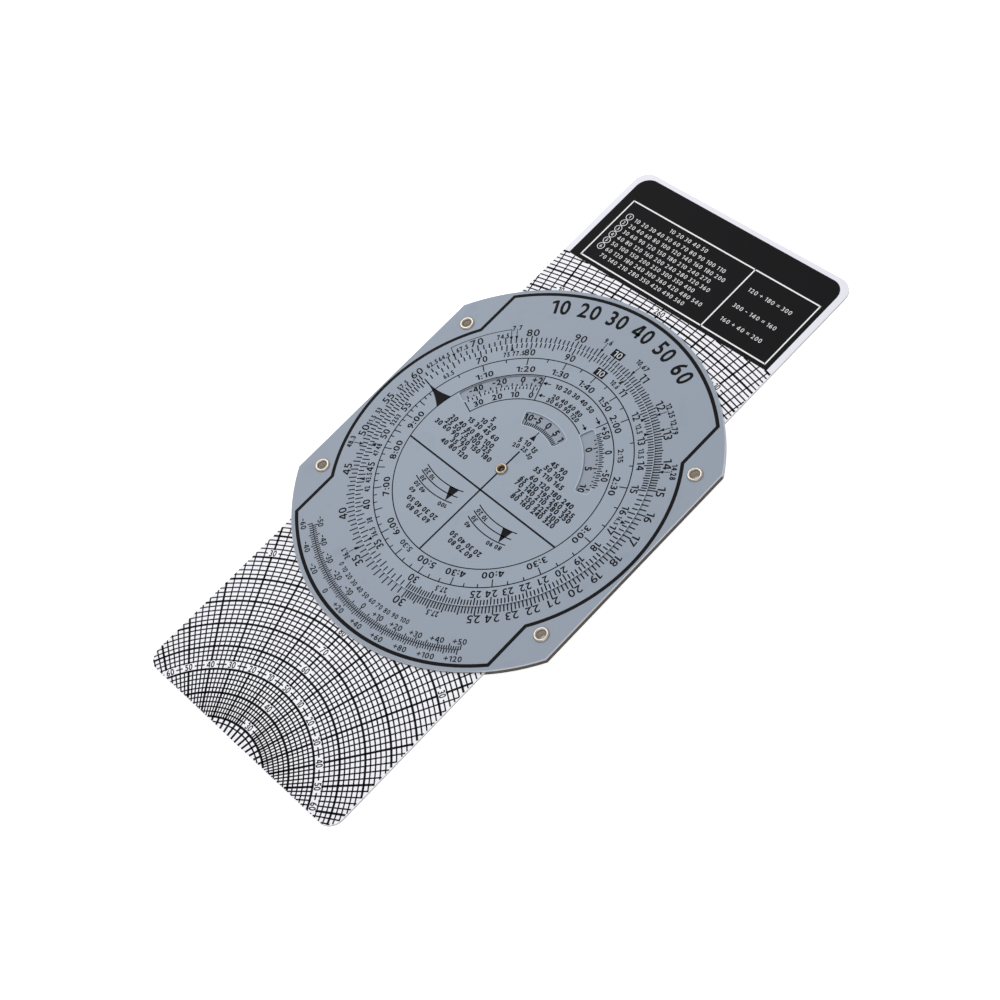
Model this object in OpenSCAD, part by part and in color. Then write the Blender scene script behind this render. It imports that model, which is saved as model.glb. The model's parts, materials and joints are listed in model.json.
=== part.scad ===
// Circular slide rule with a windowed turning disc, a sliding grid and a rear azimuth disc.
// Sheet pieces are riveted into a flat stack; lengths in millimetres, angles in degrees.
// The origin lies on the pivot axis at the rear face, +Y along the slide, +Z out of the scale face.

/* [Slide] */
// Width of the sliding grid
slide_w = 101.6; // [90:0.1:115]
// Length of the sliding grid
slide_len = 254; // [220:0.5:300]
// Thickness of the sliding grid
slide_t = 0.8; // [0.5:0.05:1.5]
// Radius of the grid's four corners
slide_corner_r = 6; // [2:0.1:12]
// Place of the grid's middle along the channel at rest
slide_rest_y = -1.25; // [-20:0.25:20]
// Clearance at each long side of the grid
slide_side_gap = 0.4; // [0.2:0.05:1]
// Clearance above and below the grid
slide_face_gap = 0.1; // [0.05:0.01:0.3]

/* [Plates] */
// Width of each rail beside the channel
rail_w = 13.2; // [11:0.1:18]
// How far the round ends stand out past the straight sides
round_over = 12.7; // [9:0.1:20]
// Thickness of the front plate
front_plate_t = 0.8; // [0.6:0.05:1.6]
// Bevel along the front plate's upper edge
front_bevel = 0.2; // [0.05:0.05:0.4]
// Thickness of the wind plate at the rear
wind_plate_t = 0.6; // [0.5:0.05:1.2]
// Inset of the wind plate behind the stack's outline
rear_inset = 1; // [0.2:0.1:1.5]

/* [Calculator disc] */
// Width of the fixed scale band between the disc and the plate's straight side
scale_band_w = 11.1; // [9:0.1:14]
// Thickness of the disc
disc_t = 0.4; // [0.3:0.05:1]
// Clearance above and below the disc
disc_face_gap = 0.05; // [0.02:0.01:0.2]
// Corner radius of the disc's windows
window_corner_r = 0.9; // [0.2:0.05:1.2]
// Depth of the left window's outer edge inside the disc's rim
left_window_inset = 14.1; // [10:0.1:16]
// Radial height of the left window
left_window_h = 4.8; // [3:0.1:6]
// Direction of the left window's middle, clockwise from the top
left_window_at = -46; // [-60:0.1:-40]
// Angle that the left window spans
left_window_span = 47.5; // [20:0.5:60]
// Depth of the right window's outer edge inside the disc's rim
right_window_inset = 19.3; // [17:0.1:22]
// Radial height of the right window
right_window_h = 5.1; // [3:0.1:6]
// Direction of the right window's middle, clockwise from the top
right_window_at = 49.8; // [40:0.1:60]
// Angle that the right window spans
right_window_span = 45.6; // [20:0.2:60]
// Depth of the density window's outer edge inside the disc's rim
density_window_inset = 29; // [26:0.1:32]
// Radial height of the density window
density_window_h = 5.6; // [3:0.1:7]
// Direction of the density window's middle, clockwise from the top
density_window_at = 1.4; // [-10:0.1:10]
// Angle that the density window spans
density_window_span = 50.6; // [20:0.2:60]

/* [Pivot] */
// Bore of the hollow pivot rivet
pivot_bore_d = 2.2; // [1.6:0.1:4]
// Wall of the rivet's barrel
pivot_wall = 0.4; // [0.2:0.05:0.8]
// How far the rolled head stands out past the barrel
pivot_head_lip = 0.8; // [0.4:0.05:2]
// How far the clinched end stands out past the barrel
pivot_clinch_lip = 0.7; // [0.4:0.05:2]
// Thickness of the clinched end
pivot_clinch_t = 0.3; // [0.15:0.05:0.4]
// Clearance around and below the clinched end
pivot_clinch_gap = 0.05; // [0.03:0.01:0.1]
// Radial running clearance on the barrel
pivot_run_gap = 0.05; // [0.02:0.01:0.1]
// Outer diameter of the washer under the disc
washer_d = 10; // [7:0.1:16]
// Thickness of the washer under the disc
washer_t = 0.1; // [0.05:0.05:0.5]

/* [Azimuth disc] */
// How far the clear disc reaches under each rail
azimuth_lip = 6.8; // [4:0.1:8]
// Thickness of the clear disc
azimuth_t = 0.5; // [0.3:0.05:1]
// Clearance around the clear disc's rim
azimuth_edge_gap = 0.25; // [0.1:0.05:0.5]
// Clearance above and below the clear disc
azimuth_face_gap = 0.05; // [0.03:0.01:0.2]
// Width of the wind plate's ledge that carries the clear disc
ledge_w = 4; // [2:0.1:8]
// Width of the compass ring
ring_w = 8.7; // [5:0.1:14]
// Thickness of the compass ring
ring_t = 0.4; // [0.2:0.05:0.6]
// Clearance between the compass ring and the wind plate
ring_edge_gap = 0.3; // [0.1:0.05:0.6]

/* [Centre grommet] */
// Bore of the grommet at the middle of the clear disc
grommet_bore_d = 1.2; // [0.6:0.1:2]
// Wall of the grommet's barrel
grommet_wall = 0.6; // [0.3:0.05:1]
// How far the grommet's flange stands out past its barrel
grommet_lip = 0.8; // [0.4:0.05:2]
// Thickness of the grommet's flange
grommet_flange_t = 0.3; // [0.15:0.05:0.5]
// Height and width of the flare that holds the grommet
grommet_flare = 0.3; // [0.1:0.05:0.4]
// Clearance between the grommet and the clear disc
grommet_gap = 0.03; // [0.01:0.01:0.1]

/* [Corner eyelets] */
// Distance of an eyelet's centre from the plate's straight side
eyelet_side_inset = 7.4; // [5:0.1:8]
// Distance of an eyelet's centre below the plate's shoulder
eyelet_drop = 5.4; // [4:0.1:15]
// Bore of an eyelet
eyelet_bore_d = 3.1; // [2:0.1:4]
// Wall of an eyelet's barrel
eyelet_wall = 0.3; // [0.2:0.05:0.5]
// How far an eyelet's flanges stand out past its barrel
eyelet_lip = 0.95; // [0.4:0.05:1.5]
// Thickness of an eyelet's rear flange
eyelet_rear_t = 0.3; // [0.15:0.05:0.6]
// Clearance between an eyelet and the sheets that it holds
eyelet_hole_gap = 0.05; // [0.02:0.01:0.2]

/* [Hidden] */
$fn = 180;

// Overshoot of cutters past the face that they cut
cut = 1;
// Angle between the points of a window's long arcs, and steps in each of its corners
window_arc_step = 2;
window_corner_steps = 5;

// Plan sizes, from the channel outwards
channel_half_w = slide_w / 2 + slide_side_gap;
body_half_w = channel_half_w + rail_w;
body_r = body_half_w + round_over;
shoulder_y = sqrt(body_r * body_r - body_half_w * body_half_w);
disc_r = body_half_w - scale_band_w;
azimuth_r = channel_half_w + azimuth_lip;
seat_cut_r = azimuth_r + azimuth_edge_gap;
wind_opening_r = azimuth_r - ledge_w;
ring_out_r = wind_opening_r - ring_edge_gap;
ring_in_r = ring_out_r - ring_w;
eyelet_x = body_half_w - eyelet_side_inset;
eyelet_y = shoulder_y - eyelet_drop;

// Rivet radii
pivot_bore_r = pivot_bore_d / 2;
pivot_r = pivot_bore_r + pivot_wall;
pivot_hole_r = pivot_r + pivot_run_gap;
pivot_head_r = pivot_r + pivot_head_lip;
pivot_clinch_r = pivot_r + pivot_clinch_lip;
eyelet_bore_r = eyelet_bore_d / 2;
eyelet_r = eyelet_bore_r + eyelet_wall;
eyelet_flange_r = eyelet_r + eyelet_lip;
grommet_bore_r = grommet_bore_d / 2;
grommet_r = grommet_bore_r + grommet_wall;

// Heights of the stack, from the rear upwards
wind_plate_z = eyelet_rear_t;
seat_z = wind_plate_z + wind_plate_t;
seat_t = azimuth_t + 2 * azimuth_face_gap;
azimuth_z = seat_z + azimuth_face_gap;
rail_z = seat_z + seat_t;
rail_t = slide_t + 2 * slide_face_gap;
slide_z = rail_z + slide_face_gap;
front_z = rail_z + rail_t;
face_z = front_z + front_plate_t;
clinch_z = front_z + pivot_clinch_gap;
clinch_seat_z = clinch_z + pivot_clinch_t;
disc_z = face_z + washer_t + disc_face_gap;
head_z = disc_z + disc_t + disc_face_gap;

// Flat sheet with the plates' outline: a circle cut straight at both sides
module outline_sheet(z, t, inset) {
    translate([0, 0, z])
        linear_extrude(t)
            intersection() {
                circle(r = body_r - inset);
                square([2 * (body_half_w - inset), 2 * body_r], center = true);
            }
}

// The eyelets' through holes in every sheet that they hold
module eyelet_holes() {
    for (sx = [-1, 1], sy = [-1, 1])
        translate([sx * eyelet_x, sy * eyelet_y, -cut])
            cylinder(r = eyelet_r + eyelet_hole_gap, h = face_z + 2 * cut);
}

// Points along an arc; angles run clockwise from the top, and both ends are included
function arc_points(centre, r, from, to, steps) = [
    for (i = [0 : steps])
        let (a = from + (to - from) * i / steps)
            centre + r * [sin(a), cos(a)]
];

// Curved window with round corners, its middle in the direction at
module window(r_out, h, at, span) {
    r_in = r_out - h;
    c = window_corner_r;
    // Angle that each corner's centre keeps from the window's straight end
    in_turn = asin(c / (r_in + c));
    out_turn = asin(c / (r_out - c));
    first = at - span / 2;
    last = at + span / 2;
    long_steps = ceil(span / window_arc_step);
    // The inner points of the two long arcs, whose ends belong to the corners
    out_arc = arc_points([0, 0], r_out, first + out_turn, last - out_turn, long_steps);
    in_arc = arc_points([0, 0], r_in, last - in_turn, first + in_turn, long_steps);
    polygon(concat(
        [for (i = [1 : long_steps - 1]) out_arc[i]],
        window_corner(r_out - c, last - out_turn, last - out_turn, last + 90),
        window_corner(r_in + c, last - in_turn, last + 90, last - in_turn + 180),
        [for (i = [1 : long_steps - 1]) in_arc[i]],
        window_corner(r_in + c, first + in_turn, first + in_turn - 180, first - 90),
        window_corner(r_out - c, first + out_turn, first - 90, first + out_turn)
    ));
}

// Corner of a window, centred at a radius and a direction, turning from one normal to another
function window_corner(r, at, from, to) =
    arc_points(r * [sin(at), cos(at)], window_corner_r, from, to, window_corner_steps);

// Half-round rolled rim of a hollow rivet, from its bore to its flange
module rolled_rim(r_in, r_out, z) {
    bead_r = (r_out - r_in) / 2;
    intersection() {
        translate([r_in + bead_r, z])
            circle(r = bead_r);
        translate([r_in, z])
            square([2 * bead_r, bead_r]);
    }
}

// Printed face of the calculator side, recessed below for the pivot's clinched end
module front_plate() {
    color([0.59, 0.63, 0.68])
        difference() {
            translate([0, 0, front_z])
                intersection() {
                    rotate_extrude()
                        polygon([
                            [0, 0], [body_r, 0], [body_r, front_plate_t - front_bevel],
                            [body_r - front_bevel, front_plate_t], [0, front_plate_t]
                        ]);
                    rotate([90, 0, 0])
                        linear_extrude(2 * body_r, center = true)
                            polygon([
                                [-body_half_w, 0], [body_half_w, 0],
                                [body_half_w, front_plate_t - front_bevel],
                                [body_half_w - front_bevel, front_plate_t],
                                [front_bevel - body_half_w, front_plate_t],
                                [-body_half_w, front_plate_t - front_bevel]
                            ]);
                }
            eyelet_holes();
            translate([0, 0, front_z - cut])
                cylinder(r = pivot_hole_r, h = front_plate_t + 2 * cut);
            translate([0, 0, front_z - cut])
                cylinder(r = pivot_clinch_r + pivot_clinch_gap, h = clinch_seat_z - front_z + cut);
        }
}

// Outlines of the three reading windows, in the disc as it stands at rest
module disc_windows() {
    window(disc_r - left_window_inset, left_window_h, left_window_at, left_window_span);
    window(disc_r - right_window_inset, right_window_h, right_window_at, right_window_span);
    window(disc_r - density_window_inset, density_window_h, density_window_at, density_window_span);
}

// Turning disc with its three reading windows
module calculator_disc() {
    color([0.6, 0.64, 0.69])
        translate([0, 0, disc_z])
            linear_extrude(disc_t)
                difference() {
                    circle(r = disc_r);
                    circle(r = pivot_hole_r);
                    disc_windows();
                }
}

// Hollow rivet that the disc turns on, rolled over the disc and clinched under the front plate
module pivot_eyelet() {
    color([0.78, 0.68, 0.45])
        rotate_extrude() {
            translate([pivot_bore_r, clinch_z])
                square([pivot_wall, head_z - clinch_z]);
            translate([pivot_bore_r, clinch_z])
                square([pivot_clinch_r - pivot_bore_r, pivot_clinch_t]);
            rolled_rim(pivot_bore_r, pivot_head_r, head_z);
        }
}

// Thin washer that keeps the disc off the printed face
module pivot_washer() {
    color([0.82, 0.82, 0.8])
        translate([0, 0, face_z])
            linear_extrude(washer_t)
                difference() {
                    circle(r = washer_d / 2);
                    circle(r = pivot_hole_r);
                }
}

// Spacer strip on the +X side of the slide's channel, with the plates' outline
module rail() {
    difference() {
        intersection() {
            outline_sheet(rail_z, rail_t, 0);
            translate([channel_half_w, -body_r, rail_z - cut])
                cube([rail_w + cut, 2 * body_r, rail_t + 2 * cut]);
        }
        eyelet_holes();
    }
}

module right_rail() {
    color([0.3, 0.25, 0.22])
        rail();
}

module left_rail() {
    color([0.3, 0.25, 0.22])
        mirror([1, 0, 0])
            rail();
}

// Long white card that carries the printed grid
module slide() {
    color([0.93, 0.93, 0.95])
        translate([0, slide_rest_y, slide_z])
            linear_extrude(slide_t) {
                square([slide_w - 2 * slide_corner_r, slide_len], center = true);
                square([slide_w, slide_len - 2 * slide_corner_r], center = true);
                for (sx = [-1, 1], sy = [-1, 1])
                    translate([sx * (slide_w / 2 - slide_corner_r), sy * (slide_len / 2 - slide_corner_r)])
                        circle(r = slide_corner_r);
            }
}

// Layer whose round cut-out centres the clear disc
module azimuth_seat() {
    color([0.33, 0.28, 0.25])
        difference() {
            outline_sheet(seat_z, seat_t, 0);
            translate([0, 0, seat_z - cut])
                cylinder(r = seat_cut_r, h = seat_t + 2 * cut);
            eyelet_holes();
        }
}

// Rear plate whose ledge carries the clear disc
module wind_plate() {
    color([0.58, 0.62, 0.67])
        difference() {
            outline_sheet(wind_plate_z, wind_plate_t, rear_inset);
            translate([0, 0, wind_plate_z - cut])
                cylinder(r = wind_opening_r, h = wind_plate_t + 2 * cut);
            eyelet_holes();
        }
}

// Compass ring bonded under the clear disc, inside the wind plate's opening
module azimuth_ring() {
    color([0.56, 0.6, 0.66])
        translate([0, 0, azimuth_z - ring_t])
            linear_extrude(ring_t)
                difference() {
                    circle(r = ring_out_r);
                    circle(r = ring_in_r);
                }
}

// Clear disc, countersunk at its middle for the grommet's flare
module azimuth_window() {
    color([0.85, 0.9, 0.92, 0.4])
        difference() {
            translate([0, 0, azimuth_z])
                cylinder(r = azimuth_r, h = azimuth_t);
            rotate_extrude()
                polygon([
                    [0, azimuth_z - cut],
                    [grommet_r + grommet_gap, azimuth_z - cut],
                    [grommet_r + grommet_gap, azimuth_z + azimuth_t - grommet_flare],
                    [grommet_r + grommet_gap + grommet_flare, azimuth_z + azimuth_t],
                    [grommet_r + grommet_gap + grommet_flare, azimuth_z + azimuth_t + cut],
                    [0, azimuth_z + azimuth_t + cut]
                ]);
        }
}

// Small hollow rivet at the middle of the clear disc, flared flush on the slide's side
module centre_grommet() {
    color([0.78, 0.68, 0.45])
        rotate_extrude()
            polygon([
                [grommet_bore_r, azimuth_z - grommet_flange_t],
                [grommet_r + grommet_lip, azimuth_z - grommet_flange_t],
                [grommet_r + grommet_lip, azimuth_z],
                [grommet_r, azimuth_z],
                [grommet_r, azimuth_z + azimuth_t - grommet_flare],
                [grommet_r + grommet_flare, azimuth_z + azimuth_t],
                [grommet_bore_r, azimuth_z + azimuth_t]
            ]);
}

// Four hollow rivets that hold the stack, rolled over at the front and pressed flat at the rear
module corner_eyelets() {
    color([0.74, 0.71, 0.66])
        for (sx = [-1, 1], sy = [-1, 1])
            translate([sx * eyelet_x, sy * eyelet_y, 0])
                rotate_extrude() {
                    translate([eyelet_bore_r, 0])
                        square([eyelet_wall, face_z]);
                    translate([eyelet_bore_r, 0])
                        square([eyelet_flange_r - eyelet_bore_r, eyelet_rear_t]);
                    rolled_rim(eyelet_bore_r, eyelet_flange_r, face_z);
                }
}

front_plate();
calculator_disc();
pivot_eyelet();
pivot_washer();
left_rail();
right_rail();
slide();
azimuth_seat();
wind_plate();
azimuth_ring();
azimuth_window();
centre_grommet();
corner_eyelets();
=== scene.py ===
import json

import bpy
import numpy as np
from mathutils import Matrix, Vector


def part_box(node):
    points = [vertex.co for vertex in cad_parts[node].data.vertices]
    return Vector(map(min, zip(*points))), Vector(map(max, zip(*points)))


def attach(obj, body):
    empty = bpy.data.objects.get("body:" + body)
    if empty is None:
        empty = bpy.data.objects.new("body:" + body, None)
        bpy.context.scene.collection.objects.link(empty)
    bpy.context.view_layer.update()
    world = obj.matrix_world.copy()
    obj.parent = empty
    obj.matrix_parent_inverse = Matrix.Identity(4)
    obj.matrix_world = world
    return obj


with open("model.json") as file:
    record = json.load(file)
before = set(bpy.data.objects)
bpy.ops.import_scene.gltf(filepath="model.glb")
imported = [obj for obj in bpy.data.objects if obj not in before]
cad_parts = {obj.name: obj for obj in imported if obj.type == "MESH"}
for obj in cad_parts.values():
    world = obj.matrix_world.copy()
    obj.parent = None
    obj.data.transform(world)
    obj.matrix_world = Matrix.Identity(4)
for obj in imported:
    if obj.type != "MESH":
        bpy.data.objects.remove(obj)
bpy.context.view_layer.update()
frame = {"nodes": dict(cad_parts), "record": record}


# Rear plate: a die-cut grey vinyl sheet with a round opening for the clear disc.
# An index mark, two correction scales and a border line are screen-printed on its rear
# face, and its corners are riveted through the whole stack.
MM = 0.001
REAR_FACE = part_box("wind_plate")[0].z / MM
REAR_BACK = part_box("wind_plate")[1].z / MM
SHEET_GREY = (0.278, 0.326, 0.398, 1.0)
PALE_EDGE = (0.50, 0.53, 0.58, 1.0)
INK_BLACK = (0.0055, 0.0055, 0.0065, 1.0)
# Between these heights of y, edges turn pale towards the upper end: a painted reflection.
PAINTED_REFLECTION_Y = (41.5, 42.8)
SHEET_SKIN = 0.012
# Painted shade on the plate under the disc, and a painted highlight close to the disc's cut edges.
UNDER_DISC_PAINTED_SHADE, CUT_EDGE_HIGHLIGHT = 0.915, 1.38
CUT_WIDTH = (0.15, 0.5)


class Tone:
    """A shader socket as a number over the surface, so that Python expressions add its Math nodes."""

    def __init__(self, tree, socket=None):
        self.tree = tree
        self.socket = socket

    def node(self, kind, settings=None, sockets=None, out=0):
        """Adds any other node: its settings are set first, then each socket gets its value or its link."""
        made = self.tree.nodes.new(kind)
        for name, value in (settings or {}).items():
            setattr(made, name, value)
        for key, value in (sockets or {}).items():
            if isinstance(value, Tone):
                self.tree.links.new(value.socket, made.inputs[key])
            else:
                made.inputs[key].default_value = value
        return Tone(self.tree, made.outputs[out])

    def math(self, operation, first, second=0.0):
        """Adds one Math node."""
        return self.node("ShaderNodeMath", {"operation": operation}, {0: first, 1: second})

    def __add__(self, other):
        return self.math("ADD", self, other)

    def __sub__(self, other):
        return self.math("SUBTRACT", self, other)

    def __rsub__(self, other):
        return self.math("SUBTRACT", other, self)

    def __mul__(self, other):
        return self.math("MULTIPLY", self, other)

    def __gt__(self, limit):
        return self.math("GREATER_THAN", self, limit)

    def __lt__(self, limit):
        return self.math("LESS_THAN", self, limit)

    def __abs__(self):
        return self.math("ABSOLUTE", self)

    __radd__ = __add__
    __rmul__ = __mul__

    def length(self, other):
        """The length of a flat step whose two sides are this number and another."""
        flat = self.node("ShaderNodeCombineXYZ", None, {0: self, 1: other})
        return self.node("ShaderNodeVectorMath", {"operation": "LENGTH"}, {0: flat}, out="Value")

    def step(self, low, high):
        """A soft step: 0 below low, 1 above high, with an S-shaped rise between them."""
        settings = {"interpolation_type": "SMOOTHSTEP"}
        return self.node("ShaderNodeMapRange", settings, {0: self, 1: low, 2: high, 3: 0.0, 4: 1.0})

    def colours(self, low, high):
        """The colour low where this number is 0 and high where it is 1."""
        return self.node("ShaderNodeMix", {"data_type": "RGBA"}, {0: self, 6: low, 7: high}, out=2)

    def noise(self, size, detail=2.0):
        """Cloudy noise from 0 to 1 at this point, with clouds of about the given size in millimetres."""
        sockets = {"Vector": self, "Scale": 1 / (size * MM), "Detail": detail}
        return self.node("ShaderNodeTexNoise", None, sockets)

    def axis(self, index):
        """One coordinate of this point, in millimetres."""
        return self.node("ShaderNodeSeparateXYZ", None, {0: self}, out=index) * (1 / MM)

    def from_axis(self, x=0.0, y=0.0):
        """The distance in millimetres of this point from the upright axis at (x, y) in its own quarter."""
        return (abs(self.axis(0)) - x).length(abs(self.axis(1)) - y)

    def bump(self, depth):
        """The surface normal, raised by this number times a depth in millimetres."""
        return self.node("ShaderNodeBump", None, {"Strength": 1.0, "Distance": depth * MM, "Height": self})


def finish(name, sockets_at):
    """A material whose shader sockets come from sockets_at(point): numbers are set, tones are linked."""
    made = bpy.data.materials.new(name)
    made.use_nodes = True
    tree = made.node_tree
    shader = tree.nodes["Principled BSDF"]
    point = Tone(tree).node("ShaderNodeTexCoord", out="Object")
    for socket, value in sockets_at(point).items():
        if isinstance(value, Tone):
            tree.links.new(value.socket, shader.inputs[socket])
        else:
            shader.inputs[socket].default_value = value
    return made


def shade(colour, factor):
    """A colour made lighter or darker by a factor."""
    return tuple(channel * factor for channel in colour[:3]) + (1.0,)


def sheet_finish(name, face, edge, low, high, core=None, covered_r=None, cut_edge=None, shaded_end=None):
    """Calendered plastic sheet: a pebbled satin face with faint clouding and rubbed patches, and a trimmed
    edge between the two faces at low and high. Where core is given, the lower part of that edge takes core's
    colour, except towards the upper end, where it stays pale: a painted reflection. Within covered_r the face
    is a little darker: painted shade where the disc's windows look down onto the plate. Close to a cut edge,
    at the distance cut_edge(point), it is paler: a painted highlight. From a given y upwards it has a given
    colour,
    darker and a little bluer: painted shade with a bluer tint."""

    def sockets_at(point):
        height = point.axis(2)
        clouds = point.noise(26.0)
        grain = point.noise(0.28, 3.0)
        rubbed = point.noise(7.0, 5.0).step(0.56, 0.74)
        fleck = point.noise(0.9).step(0.71, 0.77)
        tint = (clouds * 0.65 + grain * 0.35).colours(shade(face, 0.95), shade(face, 1.05))
        tint = (fleck * 0.16).colours(tint, shade(face, 0.8))
        # Painted shade: within covered_r the face is darker, where the disc's windows look down onto the
        # plate.
        if covered_r is not None:
            outside_painted_shade = point.from_axis().step(covered_r - 0.5, covered_r)
            tint = outside_painted_shade.colours(shade(face, UNDER_DISC_PAINTED_SHADE), tint)
        # Painted highlight: the face is paler close to a cut edge.
        if cut_edge is not None:
            tint = cut_edge(point).step(*CUT_WIDTH).colours(shade(face, CUT_EDGE_HIGHLIGHT), tint)
        # Painted shade with a bluer tint, from a given y upwards.
        if shaded_end is not None:
            tint = point.axis(1).step(shaded_end[0] - 0.5, shaded_end[0]).colours(tint, shaded_end[1])
        trimmed = point.noise(0.12, 4.0).colours(shade(edge, 0.85), shade(edge, 1.15))
        # The lower part of the edge takes the core's colour; towards the upper end it stays pale: a painted
        # reflection.
        if core is not None:
            above_core_colour = height.step(low + 0.12, low + 0.38)
            core_coloured = (1 - above_core_colour) * (1 - point.axis(1).step(*PAINTED_REFLECTION_Y))
            trimmed = (1 - core_coloured).colours(core, trimmed)
        wall = (height > low + SHEET_SKIN) * (height < high - SHEET_SKIN)
        return {
            "Base Color": wall.colours(tint, trimmed),
            "Roughness": 0.40 + rubbed * 0.10 + grain * 0.08 + wall * 0.2,
            "Specular IOR Level": 0.4,
            "Normal": grain.bump(0.008),
        }

    return finish(name, sockets_at)


def ink_finish(name, ink, patchy, sheen):
    """Screen ink: an even film whose depth of colour and gloss vary a little with the mesh it was pulled
    through."""

    def sockets_at(point):
        depth = point.noise(0.35, 3.0) * 0.6 + point.noise(9.0) * 0.4
        return {
            "Base Color": depth.colours(shade(ink, 1 - patchy), shade(ink, 1 + patchy)),
            "Roughness": 0.48 + depth * 0.16,
            "Specular IOR Level": sheen,
        }

    return finish(name, sockets_at)


black_ink = ink_finish("black_ink", INK_BLACK, patchy=0.30, sheen=0.08)


def dress(node, material):
    """Gives a CAD node its finish through its material slots."""
    for slot in frame["nodes"][node].material_slots:
        slot.material = material


dress("wind_plate", sheet_finish("rear_plate_vinyl", SHEET_GREY, PALE_EDGE, REAR_FACE, REAR_BACK))


def turned(angle):
    """Unit vectors outwards and along the circle, at angles in degrees clockwise from the top."""
    angle = np.radians(angle)
    outwards = np.stack([np.sin(angle), np.cos(angle)], axis=-1)
    along = np.stack([np.cos(angle), -np.sin(angle)], axis=-1)
    return outwards, along


def fan(count):
    """Triangles from the first of count points to each pair of the others."""
    later = np.arange(1, count - 1)
    return np.column_stack([np.zeros_like(later), later, later + 1])


FIGURE_CAP = 0.682
FIGURE_STROKE = 0.144
FIGURE_GAP = 0.17
FIGURE_STRETCH = 1.05
FIGURE_WEIGHT = 0.025
FIGURE_CURVE = 3
SPACE_WIDTH = 0.46
BARRED = "14-"
figures = {}


def upright(left, low, right, high):
    """The corners of a rectangle, anticlockwise from the lower left."""
    return [(left, low), (right, low), (right, high), (left, high)]


def barred(character, stroke, weight):
    """The four-cornered bars of the one, the four or the minus: its stems, feet and slopes."""
    if character == "1":
        flag = [(0.0, 0.26 - weight), (0.27, 0.5 - stroke), (0.27, 0.5), (0.0, 0.26 + 0.6 * stroke)]
        return [upright(0.27, -0.5, 0.27 + stroke, 0.5), flag]
    if character == "4":
        top, lean = stroke * 0.9 - 0.3, stroke * 1.25
        slope = [(0.0, top), (lean, top), (0.44 + stroke * 0.5, 0.5), (0.44 - stroke * 0.3, 0.5)]
        return [upright(0.44, -0.5, 0.44 + stroke, 0.5), upright(0.0, -0.3, 0.72, top), slope]
    return [upright(0.0, -stroke / 2, 0.46, stroke / 2)]


def traced(character, weight):
    """The built-in face's own shape of a character, as points and triangles."""
    curve = bpy.data.curves.new("figure", "FONT")
    curve.body = character
    curve.resolution_u = FIGURE_CURVE
    curve.offset = weight * FIGURE_CAP
    maker = bpy.data.objects.new("figure", curve)
    bpy.context.scene.collection.objects.link(maker)
    bpy.context.view_layer.update()
    shape = maker.evaluated_get(bpy.context.evaluated_depsgraph_get())
    mesh = shape.to_mesh()
    mesh.calc_loop_triangles()
    points = np.empty(len(mesh.vertices) * 3)
    mesh.vertices.foreach_get("co", points)
    triangles = np.empty(len(mesh.loop_triangles) * 3, int)
    mesh.loop_triangles.foreach_get("vertices", triangles)
    shape.to_mesh_clear()
    bpy.data.objects.remove(maker)
    bpy.data.curves.remove(curve)
    return points.reshape(-1, 3)[:, :2] / FIGURE_CAP - (0.0, 0.5), triangles.reshape(-1, 3)


def figure(character, weight):
    """A character of the plain built-in face as points, triangles and width, with the figures one unit high
    about the middle. The face's own one, four and minus are plain, blotted or short, so these are bars."""
    if (character, weight) not in figures:
        if character in BARRED:
            bars = barred(character, FIGURE_STROKE + 2 * weight, weight)
            points = np.concatenate(bars)
            triangles = np.concatenate([fan(4) + 4 * place for place in range(len(bars))])
        else:
            points, triangles = traced(character, weight)
        points = points - (points[:, 0].min(), 0.0)
        figures[character, weight] = points, triangles, points[:, 0].max()
    return figures[character, weight]


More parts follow.
